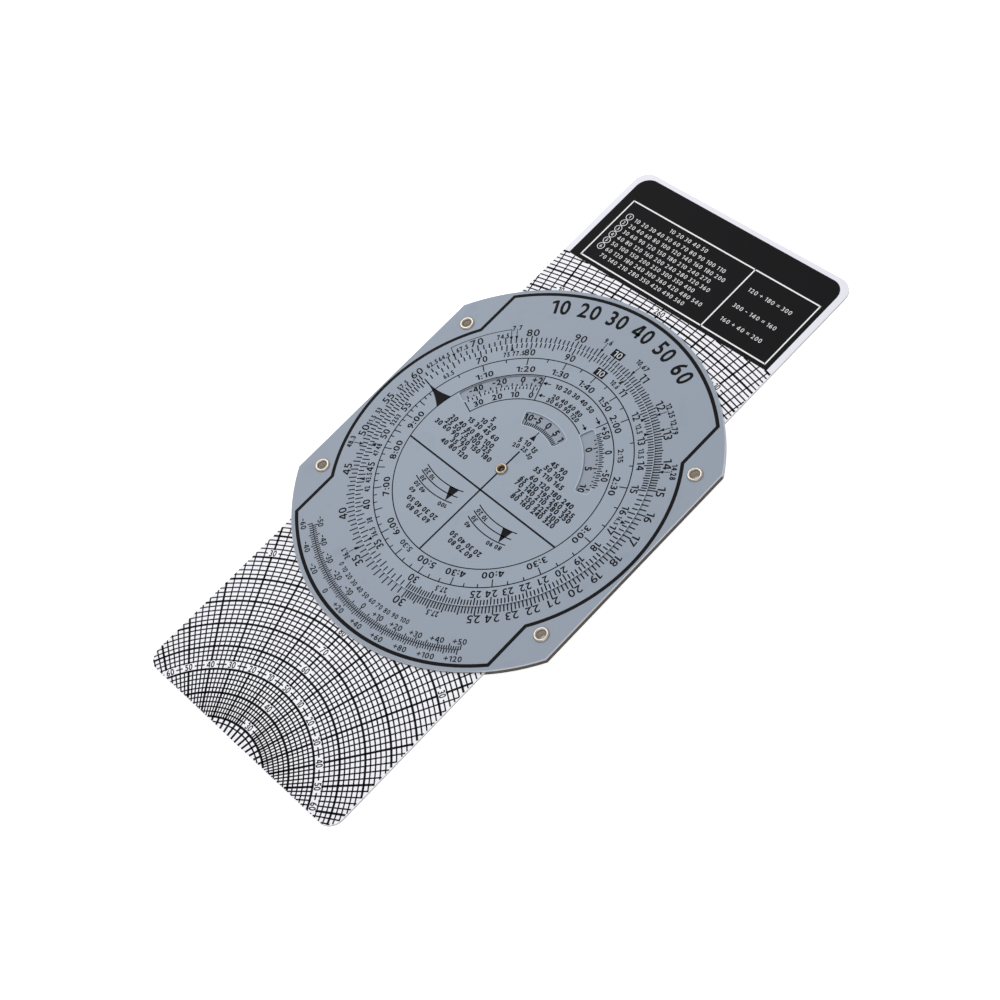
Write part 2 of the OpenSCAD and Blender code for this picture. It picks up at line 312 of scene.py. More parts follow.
class Print:
    """Ink on one face of a sheet: flat triangles in millimetres, gathered as that face is read."""

    FILM = 0.008
    LIFT = 0.004
    ARC_STEP = 1.5
    SLIVER = 1e-9

    def __init__(self):
        self.points = []
        self.triangles = []
        self.count = 0

    def add(self, points, triangles):
        """Takes in points (n, 2) and the triangles (m, 3) between them."""
        self.points.append(points)
        self.triangles.append(triangles + self.count)
        self.count += len(points)

    def bands(self, one_side, other_side):
        """Bands between two rows of points, (bands, steps, 2) each, as two triangles to a step."""
        bands, steps = one_side.shape[:2]
        starts = np.arange(bands)[:, None] * 2 * steps + np.arange(steps - 1)
        starts = starts.reshape(-1, 1)
        triangles = np.concatenate([starts + (0, 1, steps), starts + (1, steps + 1, steps)])
        self.add(np.concatenate([one_side, other_side], axis=1).reshape(-1, 2), triangles)

    def ticks(self, angle, inner, outer, width):
        """Radial bars at many angles, each from its inner to its outer radius."""
        outwards, along = turned(angle)
        inner = np.broadcast_to(inner, len(outwards))[:, None]
        outer = np.broadcast_to(outer, len(outwards))[:, None]
        ends = np.stack([outwards * inner, outwards * outer], axis=1)
        half = along[:, None] * width / 2
        self.bands(ends - half, ends + half)

    def arc(self, radius, start, end, width, centre=(0.0, 0.0)):
        """A ring band from one clockwise angle to another."""
        steps = 2 + int(abs(end - start) / self.ARC_STEP)
        outwards = turned(np.linspace(start, end, steps))[0]
        inside = centre + outwards * (radius - width / 2)
        outside = centre + outwards * (radius + width / 2)
        self.bands(inside[None], outside[None])

    def line(self, start, end, width):
        """A straight bar between two points."""
        ends = np.array([start, end], float)
        way = (ends[1] - ends[0]) / np.linalg.norm(ends[1] - ends[0])
        half = np.array([-way[1], way[0]]) * width / 2
        self.bands((ends - half)[None], (ends + half)[None])

    def patch(self, points):
        """A filled outline that bulges everywhere, as a fan of triangles from its first point."""
        self.add(np.array(points, float), fan(len(points)))

    def head(self, angle, tip, base, half):
        """A filled arrow head on a radius, from its tip to its base."""
        outwards, along = turned(angle)
        self.patch([outwards * tip, outwards * base + along * half, outwards * base - along * half])

    def figures(self, text, height, stretch, weight, gap=FIGURE_GAP):
        """The text's figures with the place of each along its row, centred on the row's middle, and the
        row's whole width."""
        placed = []
        reach = 0.0
        for character in text:
            if character == " ":
                reach += SPACE_WIDTH * height
                continue
            points, triangles, width = figure(character, weight)
            width = width * height * stretch
            shape = points * (height * stretch, height) - (width / 2, 0.0)
            placed.append((shape, triangles, reach + width / 2))
            reach += width + gap * height
        reach -= gap * height
        return [(shape, triangles, place - reach / 2) for shape, triangles, place in placed], reach

    def row(self, text, middle, height, turn=0.0, stretch=FIGURE_STRETCH, weight=FIGURE_WEIGHT,
            gap=FIGURE_GAP):
        """A straight row of figures about a point, turned clockwise in degrees."""
        up, along = turned(turn)
        for shape, triangles, place in self.figures(text, height, stretch, weight, gap)[0]:
            flat = np.outer(shape[:, 0] + place, along) + np.outer(shape[:, 1], up)
            self.add(flat + middle, triangles)

    def ring(self, text, radius, angle, height, inwards=False, stretch=FIGURE_STRETCH,
             weight=FIGURE_WEIGHT, gap=FIGURE_GAP):
        """Figures bent round a circle about an angle, tops outwards, or to the centre if inwards."""
        way = -1 if inwards else 1
        for shape, triangles, place in self.figures(text, height, stretch, weight, gap)[0]:
            outwards, along = turned(angle + way * np.degrees(place / radius))
            bent = np.outer(radius + way * shape[:, 1], outwards) + np.outer(way * shape[:, 0], along)
            self.add(bent, triangles)

    def lay(self, name, material, face, side, layer=0, turn=0.0):
        """Makes the ink one thin film on a face at height face, read from the front with side 1 or from the
        rear with side -1, after turning the whole print clockwise. A second layer lies on the first."""
        points = np.concatenate(self.points)
        triangles = np.concatenate(self.triangles)
        up, along = turned(turn)
        points = np.outer(points[:, 0], along) + np.outer(points[:, 1], up)
        first, second, third = (points[triangles[:, corner]] for corner in range(3))
        area = np.cross(second - first, third - first)
        triangles[area < 0] = triangles[area < 0][:, ::-1]
        triangles = triangles[np.abs(area) > self.SLIVER]
        level = face + side * (self.LIFT + layer * (self.FILM + self.LIFT))
        place = np.column_stack([points[:, 0] * side, points[:, 1], np.full(len(points), level)]) * MM
        mesh = bpy.data.meshes.new(name)
        mesh.from_pydata(place.tolist(), [], triangles.tolist())
        mesh.materials.append(material)
        film = bpy.data.objects.new(name, mesh)
        bpy.context.scene.collection.objects.link(film)
        thickness = film.modifiers.new("ink film", "SOLIDIFY")
        thickness.thickness = self.FILM * MM
        thickness.offset = 1.0
        return film


BORDER_END_R = 75.0
BORDER_SIDE_R = 63.05
BORDER_FLAT_X = 50.4
BORDER_LINE = 1.3
BORDER_STEPS = 40


def border(ink, inset=0.0):
    """A line round the plate: two end arcs and two side arcs about the centre, joined by straight stretches
    at a fixed distance from the axis. Both its sides follow that rule, half a line further in or out."""

    def outline(offset):
        """One side of the line, at an offset from its middle."""
        flat = BORDER_FLAT_X + offset - inset
        end_r = BORDER_END_R + offset - inset
        side_r = BORDER_SIDE_R + offset - inset
        end_half = np.degrees(np.arcsin(flat / end_r))
        side_start = np.degrees(np.arcsin(flat / side_r))
        end_arc = end_r * turned(np.linspace(-end_half, end_half, BORDER_STEPS))[0]
        side_arc = side_r * turned(np.linspace(side_start, 180 - side_start, BORDER_STEPS))[0]
        return np.concatenate([end_arc, side_arc, -end_arc, -side_arc, end_arc[:1]])

    ink.bands(outline(-BORDER_LINE / 2)[None], outline(BORDER_LINE / 2)[None])


RING_OUTER = (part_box("azimuth_ring")[1].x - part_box("azimuth_ring")[0].x) / 2 / MM
INDEX_TIP = RING_OUTER + 0.7
INDEX_BASE = INDEX_TIP + 4.6
INDEX_HALF = 1.9
DRIFT_LIMIT = 45
DRIFT_LINE = 0.28
DRIFT_LABEL_R = INDEX_TIP + 4.0
DRIFT_FIGURE = 2.2

drift = np.arange(-DRIFT_LIMIT, DRIFT_LIMIT + 1)
drift = drift[drift != 0]
drift_reach = 1.3 + 0.9 * (drift % 5 == 0)
rear_plate_ink = Print()
border(rear_plate_ink, inset=1.0)
rear_plate_ink.head(0.0, INDEX_TIP, INDEX_BASE, INDEX_HALF)
rear_plate_ink.ticks(drift, INDEX_TIP, INDEX_TIP + drift_reach, DRIFT_LINE)
rear_plate_ink.arc(INDEX_TIP, -DRIFT_LIMIT, DRIFT_LIMIT, DRIFT_LINE)
for value in range(10, DRIFT_LIMIT, 10):
    for angle in (value, -value):
        rear_plate_ink.ring(str(value), DRIFT_LABEL_R, angle, DRIFT_FIGURE)
rear_plate_film = rear_plate_ink.lay("wind_plate_print", black_ink, REAR_FACE, -1)
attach(rear_plate_film, "body")


# Azimuth disc: a clear disc of cast acetate, trapped in the rear opening but free to turn.
# A grey compass ring is glued under its rim, printed with a full circle of degrees, and
# a small brass grommet marks its centre.
RING_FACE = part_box("azimuth_ring")[0].z / MM
RING_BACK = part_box("azimuth_ring")[1].z / MM
RING_INNER = 45.0
COMPASS_RIM = RING_OUTER - 0.5
COMPASS_TICK_W = 0.26
COMPASS_LINE_R, COMPASS_LINE = RING_INNER + 0.7, 0.3
COMPASS_LABEL_R = 48.0
MAIN_POINT = {"height": 2.6, "weight": 0.04}
OTHER_POINT = {"height": 2.1, "weight": 0.01}
CLEAR_TINT = (0.93, 0.955, 0.965, 1.0)
BRASS = (0.35, 0.285, 0.22, 1.0)
GROMMET_BORE = 0.6

dress("azimuth_ring", sheet_finish("compass_ring_vinyl", SHEET_GREY, PALE_EDGE, RING_FACE, RING_BACK))


def clear_sockets(point):
    """Polished clear plastic with a cloudy haze and fine rub marks that follow the disc round."""
    rings = point.node("ShaderNodeCombineXYZ", None, {0: point.from_axis() * MM})
    marks = rings.noise(0.25, 4.0).step(0.60, 0.72)
    haze = point.noise(18.0, 3.0)
    return {
        "Base Color": haze.colours(CLEAR_TINT, shade(CLEAR_TINT, 0.96)),
        "Roughness": 0.03 + marks * 0.10 + haze * 0.04,
        "Transmission Weight": 1.0,
        "IOR": 1.49,
    }


dress("azimuth_window", finish("clear_acetate", clear_sockets))


def rivet_finish(name, colour, polish, bore, painted_bore_tone, x=0.0, y=0.0, rim_shade_z=None):
    """Drawn and plated metal: a smooth coat with fine draw marks, thin clouds of tarnish, and an unpolished,
    non-metallic bore about the axis at (x, y). The bore's colour is the coat's times a factor: painted shade
    in a dark bore, painted light in a pale one. From a given height upwards the bore is darker still: painted
    shade under the rolled rim."""

    def sockets_at(point):
        stain = point.noise(2.6, 3.0).step(0.45, 0.80)
        marks = point.noise(0.10, 3.0)
        inside = 1 - point.from_axis(x, y).step(bore + 0.02, bore + 0.16)
        coat = (stain * 0.35).colours(colour, shade(colour, 0.6))
        # The bore's colour is painted: below one it is painted shade, above one painted light.
        lining = shade(colour, painted_bore_tone)
        # Painted shade under the rolled rim: the bore is darker from this height upwards.
        if rim_shade_z is not None:
            rim_shade = point.axis(2).step(rim_shade_z - 0.2, rim_shade_z + 0.2)
            lining = rim_shade.colours(lining, shade(colour, painted_bore_tone * 0.3))
        return {
            "Base Color": inside.colours(coat, lining),
            "Metallic": 1.0 - inside,
            "Roughness": polish + marks * 0.06 + stain * 0.08 + inside * 0.35,
            "Normal": marks.bump(0.002),
        }

    return finish(name, sockets_at)


# The grommet's bore is painted dark: painted shade.
dress("centre_grommet", rivet_finish("grommet_brass", BRASS, polish=0.24, bore=GROMMET_BORE, painted_bore_tone=0.2))

degree = np.arange(360)
compass_ink = Print()
compass_reach = 1.5 + 0.8 * (degree % 5 == 0) + 0.8 * (degree % 10 == 0)
compass_ink.ticks(degree, COMPASS_RIM - compass_reach, COMPASS_RIM, COMPASS_TICK_W)
compass_ink.arc(COMPASS_LINE_R, 0, 360, COMPASS_LINE)
for value in range(0, 360, 10):
    compass_ink.ring(str(value), COMPASS_LABEL_R, value, **(OTHER_POINT if value % 90 else MAIN_POINT))
compass_film = compass_ink.lay("azimuth_ring_print", black_ink, RING_FACE, -1)
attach(compass_film, "azimuth")


# Seat and rails: strips and a ring-shaped layer of dark pressed board, die-cut to leave the
# disc's pocket and the slide's channel. They show only at the edge between the plates, dark
# along the sides and the lower end, and pale at the upper end: a painted reflection.
CORE_BROWN = (0.070, 0.059, 0.050, 1.0)


def core_sockets(point):
    """Dark board: short lengthwise fibres, sawn rough, with paler dust in the low places, and pale towards
    the
    upper end: a painted reflection."""
    pressed = point.node("ShaderNodeMapping", None, {"Vector": point, "Scale": (1.0, 1.0, 6.0)})
    fibres = pressed.noise(0.5, 5.0)
    dust = point.noise(2.5, 4.0).step(0.55, 0.80)
    board = fibres.colours(shade(CORE_BROWN, 0.65), shade(CORE_BROWN, 1.4))
    board = (dust * 0.4).colours(board, shade(CORE_BROWN, 2.2))
    # Towards the upper end the board is painted pale: a painted reflection.
    return {
        "Base Color": point.axis(1).step(*PAINTED_REFLECTION_Y).colours(board, shade(PALE_EDGE, 0.75)),
        "Roughness": 0.66 + fibres * 0.2,
        "Specular IOR Level": 0.2,
        "Normal": fibres.bump(0.03),
    }


core_finish = finish("dark_board", core_sockets)
for layer_node in ("azimuth_seat", "left_rail", "right_rail"):
    dress(layer_node, core_finish)


# Slide: one long white plastic sheet with rounded corners, printed on both faces.
# Its grid of speed arcs and drift lines spreads from a point below its lower end, and a
# black panel with a white frame fills the upper end of the front face.
SLIDE_LOW, SLIDE_HIGH = (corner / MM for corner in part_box("slide"))
SLIDE_WHITE = (0.93, 0.927, 0.985, 1.0)
# Painted shade, with a bluer tint, on the slide from the panel's foot upwards.
SHADED_WHITE = (0.85, 0.846, 0.925, 1.0)
SLIDE_EDGE = (0.41, 0.405, 0.395, 1.0)
SLIDE_CORNER = 6.0
PRINT_MARGIN = 0.12
ARC_THIN, ARC_THICK = 0.505, 0.80
GRID_FIGURE = 2.3
GRID_STRETCH = 0.8
GRID_WEIGHT = 0.035
GRID_GAP = 0.09
GRID_ZERO_Y, GRID_START = -150.1, 0.89
GRID_PITCH = 0.8743
GRID_BEYOND = 1000
STEEPEST = 68
DRIFT_ROWS = 50
LABEL_RISE = 1.75
LABEL_LIMIT = 58.4
LABEL_MARGIN, LABEL_CLEAR = 0.8, 1.3
SHORTEST = 0.02
PANEL_LOW_Y, PANEL_HIGH_Y = 82.0, 123.8

slide_white = sheet_finish(
    "slide_white", SLIDE_WHITE, SLIDE_EDGE, SLIDE_LOW.z, SLIDE_HIGH.z, shaded_end=(PANEL_LOW_Y, SHADED_WHITE))
dress("slide", slide_white)


def spans(low, high, gaps):
    """What is left of a stretch from low to high when each gap (start, end) is cut out of it, apart from
    the shortest scraps."""
    left = []
    for start, end in sorted(gaps):
        if start > low:
            left.append((low, min(start, high)))
        low = max(low, end)
    if low < high:
        left.append((low, high))
    return [(start, end) for start, end in left if end - start > SHORTEST]


def limit(test, good, bad):
    """The place between a good and a bad value where a test turns, found by halving."""
    for _ in range(30):
        middle = (good + bad) / 2
        good, bad = (middle, bad) if test(middle) else (good, middle)
    return good


class Grid:
    """The wind grid: speed arcs and drift lines in polar form about a zero point on the slide's middle line,
    clipped to the printed field, with a clear box left round every figure. A speed's radius is its pitch
    times the speed, plus a small start."""

    def __init__(self, zero_y, pitch, start, top_y):
        self.zero_y = zero_y
        self.pitch = pitch
        self.start = start
        self.low_y = SLIDE_LOW.y + PRINT_MARGIN
        self.top_y = top_y
        self.half_w = SLIDE_HIGH.x - PRINT_MARGIN
        self.corner = SLIDE_CORNER - PRINT_MARGIN
        self.boxes = []
        self.ink = Print()

    def inside(self, radius, angle):
        """Whether a point, given by radius and angle, is between the slide's sides, end and round corners."""
        x = np.abs(radius * np.sin(np.radians(angle)))
        y = self.zero_y + radius * np.cos(np.radians(angle))
        past_x = np.maximum(x - (self.half_w - self.corner), 0)
        past_y = np.maximum(self.low_y + self.corner - y, 0)
        return (x <= self.half_w) & (y >= self.low_y) & (past_x**2 + past_y**2 <= self.corner**2)

    def label(self, text, value, angle):
        """A figure outside the arc of a value, and the box that it keeps clear."""
        radius = self.start + value * self.pitch + LABEL_RISE
        half = self.ink.figures(text, GRID_FIGURE, GRID_STRETCH, GRID_WEIGHT, GRID_GAP)[1] / 2
        top = self.zero_y + (radius + GRID_FIGURE / 2) * np.cos(np.radians(angle))
        foot = self.inside(radius - GRID_FIGURE / 2, abs(angle) + np.degrees(half / radius))
        if top < self.top_y and foot:
            reach = np.degrees((half + LABEL_MARGIN) / radius)
            self.boxes.append((angle - reach, angle + reach, radius - LABEL_CLEAR, radius + LABEL_CLEAR))
            self.ink.ring(
                text, radius, angle, GRID_FIGURE, stretch=GRID_STRETCH, weight=GRID_WEIGHT, gap=GRID_GAP)

    def arcs(self, values, coarse):
        """Speed arcs, thick at the coarse values, each cut at the field's edge and at the boxes."""
        for value in values:
            radius = self.start + value * self.pitch
            width = ARC_THIN if value % coarse else ARC_THICK

            def fits(angle):
                """Whether both sides of the arc are on the field at an angle."""
                return self.inside(radius - width / 2, angle) and self.inside(radius + width / 2, angle)

            start = np.degrees(np.arccos(min(1.0, (self.top_y - self.zero_y) / radius))) + 1e-6
            if not fits(start):
                continue
            end = limit(fits, start, 90.0)
            gaps = [(low, high) for low, high, near, far in self.boxes if near < radius < far]
            gaps.append((-start, start))
            for low, high in spans(-end, end, gaps):
                self.ink.arc(radius, low, high, width, (0.0, self.zero_y))

    def drifts(self, angles, coarse, near, far):
        """Drift lines between two speeds, thick at the coarse angles, cut in the same way."""
        near, far = (self.start + speed * self.pitch for speed in (near, far))
        zero = np.array([0.0, self.zero_y])
        for angle in angles:
            width = ARC_THIN if angle % coarse else ARC_THICK

            def fits(radius):
                """Whether both sides of the drift line are on the field at a radius."""
                lean = np.degrees(width / 2 / radius)
                return self.inside(radius, angle - lean) and self.inside(radius, angle + lean)

            slope = np.radians(angle)
            low = max(near, (self.low_y - self.zero_y) / np.cos(slope))
            high = min(far, (self.top_y - self.zero_y) / np.cos(slope))
            if angle:
                high = min(high, self.half_w / abs(np.sin(slope)))
            middle = (low + high) / 2
            if low >= high or not fits(middle):
                continue
            low, high = limit(fits, middle, low), limit(fits, middle, high)
            gaps = [(start, end) for left, right, start, end in self.boxes if left < angle < right]
            outwards = turned(angle)[0]
            for start, end in spans(low, high, gaps):
                self.ink.line(zero + outwards * start, zero + outwards * end, width)

    def draw(self, first, last, arc_step, split):
        """Draws figures, arcs and drift lines, with a few thick lines below the first speed and lines twice
        as close beyond the split speed."""
        for value in range(first, last + 1, 10):
            self.label(str(value), value, 0.0)
        for value in range(DRIFT_ROWS, last + 1, DRIFT_ROWS):
            for drift in range(10, 70, 10):
                angle = min(drift, LABEL_LIMIT)
                self.label(str(drift), value, angle)
                self.label(str(drift), value, -angle)
        self.ink.points = [points + (0.0, self.zero_y) for points in self.ink.points]
        self.arcs(np.arange(first - arc_step, last + 30, arc_step), coarse=10)
        self.drifts(range(-65, 66, 5), coarse=5, near=0, far=first)
        self.drifts(range(-STEEPEST, STEEPEST + 1, 2), coarse=10, near=first, far=split)
        self.drifts(range(-STEEPEST, STEEPEST + 1), coarse=5, near=split, far=GRID_BEYOND)


PANEL_HALF_W = 48.25
PANEL_CORNER = 5.5

front_grid = Grid(GRID_ZERO_Y, GRID_PITCH, GRID_START, top_y=PANEL_LOW_Y)
front_grid.draw(first=30, last=260, arc_step=2, split=150)
slide_ink = front_grid.ink
corner_arc = turned(np.linspace(0, 90, 12))[0] * PANEL_CORNER
right_corner = corner_arc + (PANEL_HALF_W - PANEL_CORNER, PANEL_HIGH_Y - PANEL_CORNER)
left_corner = (right_corner * (-1, 1))[::-1]
panel_foot = [(PANEL_HALF_W, PANEL_LOW_Y), (-PANEL_HALF_W, PANEL_LOW_Y)]
slide_ink.patch(np.concatenate([left_corner, right_corner, panel_foot]))
slide_film = slide_ink.lay("slide_front_print", black_ink, SLIDE_HIGH.z, 1)

INK_WHITE = (0.93, 0.93, 0.95, 1.0)
FRAME_LEFT, FRAME_RIGHT, FRAME_SPLIT = -43.8, 46.0, 16.1
FRAME_LOW, FRAME_HIGH = 83.9, 112.6
FRAME_LINE = 0.52
PANEL_FIGURE = 1.68
PANEL_WEIGHT = -0.01
PANEL_GAP = 0.32
PANEL_FIRST_Y, PANEL_PITCH = 106.1, 3.1
PANEL_TEXT_X, PANEL_SUM_X = -37.1, 19.9
PANEL_HEADING = (-13.3, 109.5)
NUMBER_X, NUMBER_R = -39.9, 1.38
NUMBER_LINE, NUMBER_FIGURE = 0.22, 1.3
PANEL_WIDTHS = (49.8, 47.2, 45.9, 48.5, 43.3, 49.2, 45.9)
PANEL_SUMS = (("120 + 180 = 300", 104.9), ("300 - 140 = 160", 97.0), ("160 + 40 = 200", 90.3))

white_ink = ink_finish("white_ink", INK_WHITE, patchy=0.05, sheen=0.3)


def counted(ink, step, width, height, weight, gap=FIGURE_GAP):
    """A row of plain numbers counted up by a step, as many as the width holds."""
    text = str(step)
    value = 2 * step
    while ink.figures(f"{text} {value}", height, FIGURE_STRETCH, weight, gap)[1] <= width:
        text = f"{text} {value}"
        value += step
    return text


panel_ink = Print()


def panel_row(text, x, y):
    """A straight row of thin, well spaced figures that starts at x."""
    width = panel_ink.figures(text, PANEL_FIGURE, FIGURE_STRETCH, PANEL_WEIGHT, PANEL_GAP)[1]
    panel_ink.row(text, (x + width / 2, y), PANEL_FIGURE, weight=PANEL_WEIGHT, gap=PANEL_GAP)


for x in (FRAME_LEFT, FRAME_SPLIT, FRAME_RIGHT):
    panel_ink.line((x, FRAME_LOW - FRAME_LINE / 2), (x, FRAME_HIGH + FRAME_LINE / 2), FRAME_LINE)
for y in (FRAME_LOW, FRAME_HIGH):
    panel_ink.line((FRAME_LEFT, y), (FRAME_RIGHT, y), FRAME_LINE)
panel_ink.row("10 20 30 40 50", PANEL_HEADING, PANEL_FIGURE, weight=PANEL_WEIGHT, gap=PANEL_GAP)
for number, width in enumerate(PANEL_WIDTHS, start=1):
    y = PANEL_FIRST_Y - (number - 1) * PANEL_PITCH
    text = counted(panel_ink, 10 * number, width, PANEL_FIGURE, PANEL_WEIGHT, PANEL_GAP)
    panel_row(text, PANEL_TEXT_X, y)
    if number < len(PANEL_WIDTHS):
        panel_ink.arc(NUMBER_R, 0, 360, NUMBER_LINE, (NUMBER_X, y))
        panel_ink.row(str(number), (NUMBER_X, y), NUMBER_FIGURE, weight=0.0)
for sums, y in PANEL_SUMS:
    panel_row(sums, PANEL_SUM_X, y)
panel_film = panel_ink.lay("slide_panel_print", white_ink, SLIDE_HIGH.z, 1, layer=1)

rear_grid = Grid(GRID_ZERO_Y, 2 * GRID_PITCH, GRID_START, top_y=SLIDE_HIGH.y - SLIDE_CORNER)
rear_grid.draw(first=20, last=150, arc_step=1, split=70)
rear_slide_film = rear_grid.ink.lay("slide_rear_print", black_ink, SLIDE_LOW.z, -1)
for film, slot in ((slide_film, "black_ink"), (panel_film, "white_ink"), (rear_slide_film, "black_ink")):
    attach(film, "slide")


# Front plate: a thicker grey vinyl sheet with a chamfered rim and pale trimmed sides, riveted over
# the rails. The fixed outer scale, a temperature scale, a border line and a row of large
# figures are printed on it, with the small scales that show through the disc's windows.
PLATE_LOW, PLATE_FACE = (corner.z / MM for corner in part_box("front_plate"))
DISC_R = (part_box("calculator_disc")[1].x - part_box("calculator_disc")[0].x) / 2 / MM
COVERED_R = DISC_R - 0.8
SCALE_TURN = 0.6
TICK_W = 0.47
WINDOW_TICK_W, WINDOW_WEIGHT = 0.44, 0.045
DEGREE_TICK_W = 0.42

# Within COVERED_R the plate's face carries painted shade.
plate_finish = sheet_finish(
    "front_plate_vinyl", SHEET_GREY, PALE_EDGE, PLATE_LOW, PLATE_FACE, core=CORE_BROWN, covered_r=COVERED_R)
dress("front_plate", plate_finish)


def dial_angle(value):
    """The clockwise angle of a value on a decade wrapped round the circle: 360 degrees times the common
    logarithm of a tenth of the value."""
    return 360 * np.log10(np.asarray(value) / 10)


def dial_ticks(ink, turn, rim, way, short, half, whole):
    """The decade's ticks, from a rim outwards (way 1) or inwards (way -1): tenths, fifths, halves and whole
    numbers in turn as the decade closes up, longer at the halves and longest at the whole numbers."""
    tenths = np.concatenate([
        np.arange(100, 150),
        np.arange(150, 300, 2),
        np.arange(300, 600, 5),
        np.arange(600, 1000, 10),
    ])
    is_whole = np.where(tenths < 600, tenths % 10, tenths % 50) == 0
    is_half = (tenths < 150) & (tenths % 5 == 0)
    reach = np.where(is_whole, whole, np.where(is_half, half, short))
    ink.ticks(dial_angle(tenths / 10) + turn, rim, rim + way * reach, TICK_W)


DIAL_LABELS = [*range(11, 26), *range(30, 61, 5), 70, 80, 90]


def dial_labels(ink, values, turn, radius, height, stretch, weight):
    """Figures of the decade round a circle, with their tops outwards."""
    for value in values:
        ink.ring(f"{value:g}", radius, dial_angle(value) + turn, height, stretch=stretch, weight=weight)


def start_box(ink, turn, radius, width, height):
    """The black box that carries the decade's first figure."""
    outwards, along = turned(turn)
    middle = outwards * radius
    across, up = along * width / 2, outwards * height / 2
    ink.patch([middle - across - up, middle + across - up, middle + across + up, middle - across + up])


def signed(value):
    """A temperature's figure, with its sign unless it is zero."""
    return f"{value:+d}" if value else "0"


LARGE_R, LARGE_ANGLE, LARGE_FIGURE = 69.5, -2.85, 5.9
PLATE_LABEL_R, PLATE_FIGURE = 57.95, 2.85
PLATE_START_R = 58.0
START_HEIGHT = 3.3
plate_ink = Print()
border(plate_ink)
plate_ink.ring("10 20 30 40 50 60", LARGE_R, LARGE_ANGLE, LARGE_FIGURE, stretch=0.88, weight=0.035)
dial_ticks(plate_ink, SCALE_TURN, DISC_R - 0.25, 1, short=2.8, half=3.2, whole=3.55)
dial_labels(plate_ink, DIAL_LABELS, SCALE_TURN, PLATE_LABEL_R, PLATE_FIGURE, stretch=1.12, weight=0.02)
start_box(plate_ink, SCALE_TURN, PLATE_START_R, width=4.9, height=START_HEIGHT)

SMALL_FIGURE = 1.9
SMALL_STRETCH = 0.72
SMALL_WEIGHT = 0.06
BETWEEN_R = 57.6
OUTER_BETWEEN = (27.5, 51.5, 53, 57.5, 62.5, 64.5, 67.5, 74.5)
dial_labels(plate_ink, OUTER_BETWEEN, SCALE_TURN, BETWEEN_R, SMALL_FIGURE, SMALL_STRETCH, SMALL_WEIGHT)

GAUGE_POINTS = (7.7, 9.6, 10.67, 12.25, 12.79, 14.28, 36.1, 48.3)
BRACKETED_POINTS = (6.6, 7.6)
GAUGE_LABEL_R = 60.55
GAUGE_LOW, GAUGE_HIGH, GAUGE_LINE = 56.4, 59.3, 0.28
GAUGE_TIP, GAUGE_BASE, GAUGE_HALF = 55.2, 57.0, 0.62
BRACKET_LOW, BRACKET_R = 58.0, 60.1
for value in GAUGE_POINTS + BRACKETED_POINTS:
    angle = dial_angle(value) + SCALE_TURN
    plate_ink.ticks([angle], GAUGE_LOW, GAUGE_HIGH, GAUGE_LINE)
    plate_ink.head(angle, GAUGE_TIP, GAUGE_BASE, GAUGE_HALF)
    if value in GAUGE_POINTS:
        plate_ink.ring(f"{value:g}", GAUGE_LABEL_R, angle, SMALL_FIGURE, stretch=0.82, weight=SMALL_WEIGHT)
bracket_start, bracket_end = dial_angle(BRACKETED_POINTS) + SCALE_TURN
plate_ink.arc(BRACKET_R, bracket_start, bracket_end, GAUGE_LINE)
plate_ink.ticks([bracket_start, bracket_end], BRACKET_LOW, BRACKET_R + GAUGE_LINE / 2, GAUGE_LINE)

DEGREE_AXIS_R, DEGREE_LINE = 69.2, 0.22
DEGREE_FIGURE, DEGREE_WEIGHT = 1.95, 0.03
LOW_ROW_R, LOW_ROW_ANGLE, LOW_ROW_FIGURE = 63.2, 181.85, 1.75
celsius = np.arange(-50, 51)
fahrenheit = np.arange(-60, 122, 2)


def celsius_angle(value):
    """The clockwise angle of a Celsius temperature: 0.701 degrees of arc to the degree, warm to the right."""
    return 181.0 - 0.701 * np.asarray(value)


def fahrenheit_angle(value):
    """The clockwise angle of a Fahrenheit temperature, turned into Celsius first."""
    return celsius_angle((np.asarray(value) - 32) / 1.8)


SIGN_SHIFT = 0.7
celsius_reach = 1.25 + 0.8 * (celsius % 5 == 0)
fahrenheit_reach = 1.35 + 0.5 * (fahrenheit % 10 == 0)
plate_ink.ticks(celsius_angle(celsius), DEGREE_AXIS_R - celsius_reach, DEGREE_AXIS_R, DEGREE_TICK_W)
plate_ink.ticks(fahrenheit_angle(fahrenheit), DEGREE_AXIS_R, DEGREE_AXIS_R + fahrenheit_reach, DEGREE_TICK_W)
plate_ink.arc(DEGREE_AXIS_R, celsius_angle(50), celsius_angle(-51), DEGREE_LINE)
CELSIUS_R, FAHRENHEIT_R = 66.3, 72.65
celsius_row = (CELSIUS_R, celsius_angle, range(-50, 51, 10))
fahrenheit_row = (FAHRENHEIT_R, fahrenheit_angle, range(-60, 121, 20))
for radius, angle_of, values in (celsius_row, fahrenheit_row):
    for value in values:
        place = angle_of(value) + SIGN_SHIFT * (value != 0)
        plate_ink.ring(signed(value), radius, place, DEGREE_FIGURE, inwards=True, weight=DEGREE_WEIGHT)
low_row = " ".join(str(value) for value in range(0, 101, 10))
plate_ink.ring(low_row, LOW_ROW_R, LOW_ROW_ANGLE, LOW_ROW_FIGURE, inwards=True, stretch=0.9, weight=0.035)


def air_angle(value):
    """The clockwise angle of an air temperature on the plate, under the left window."""
    return -33.9 + 0.58 * value - 0.0014 * value**2


def height_angle(value):
    """The clockwise angle of a height in thousands on the plate, under the right window."""
    return 40.25 + 2.82 * value + 0.008 * value**2


def density_angle(value):
    """The clockwise angle of a density height on the plate, under the upper window."""
    return 2.25 + 2.3 * value


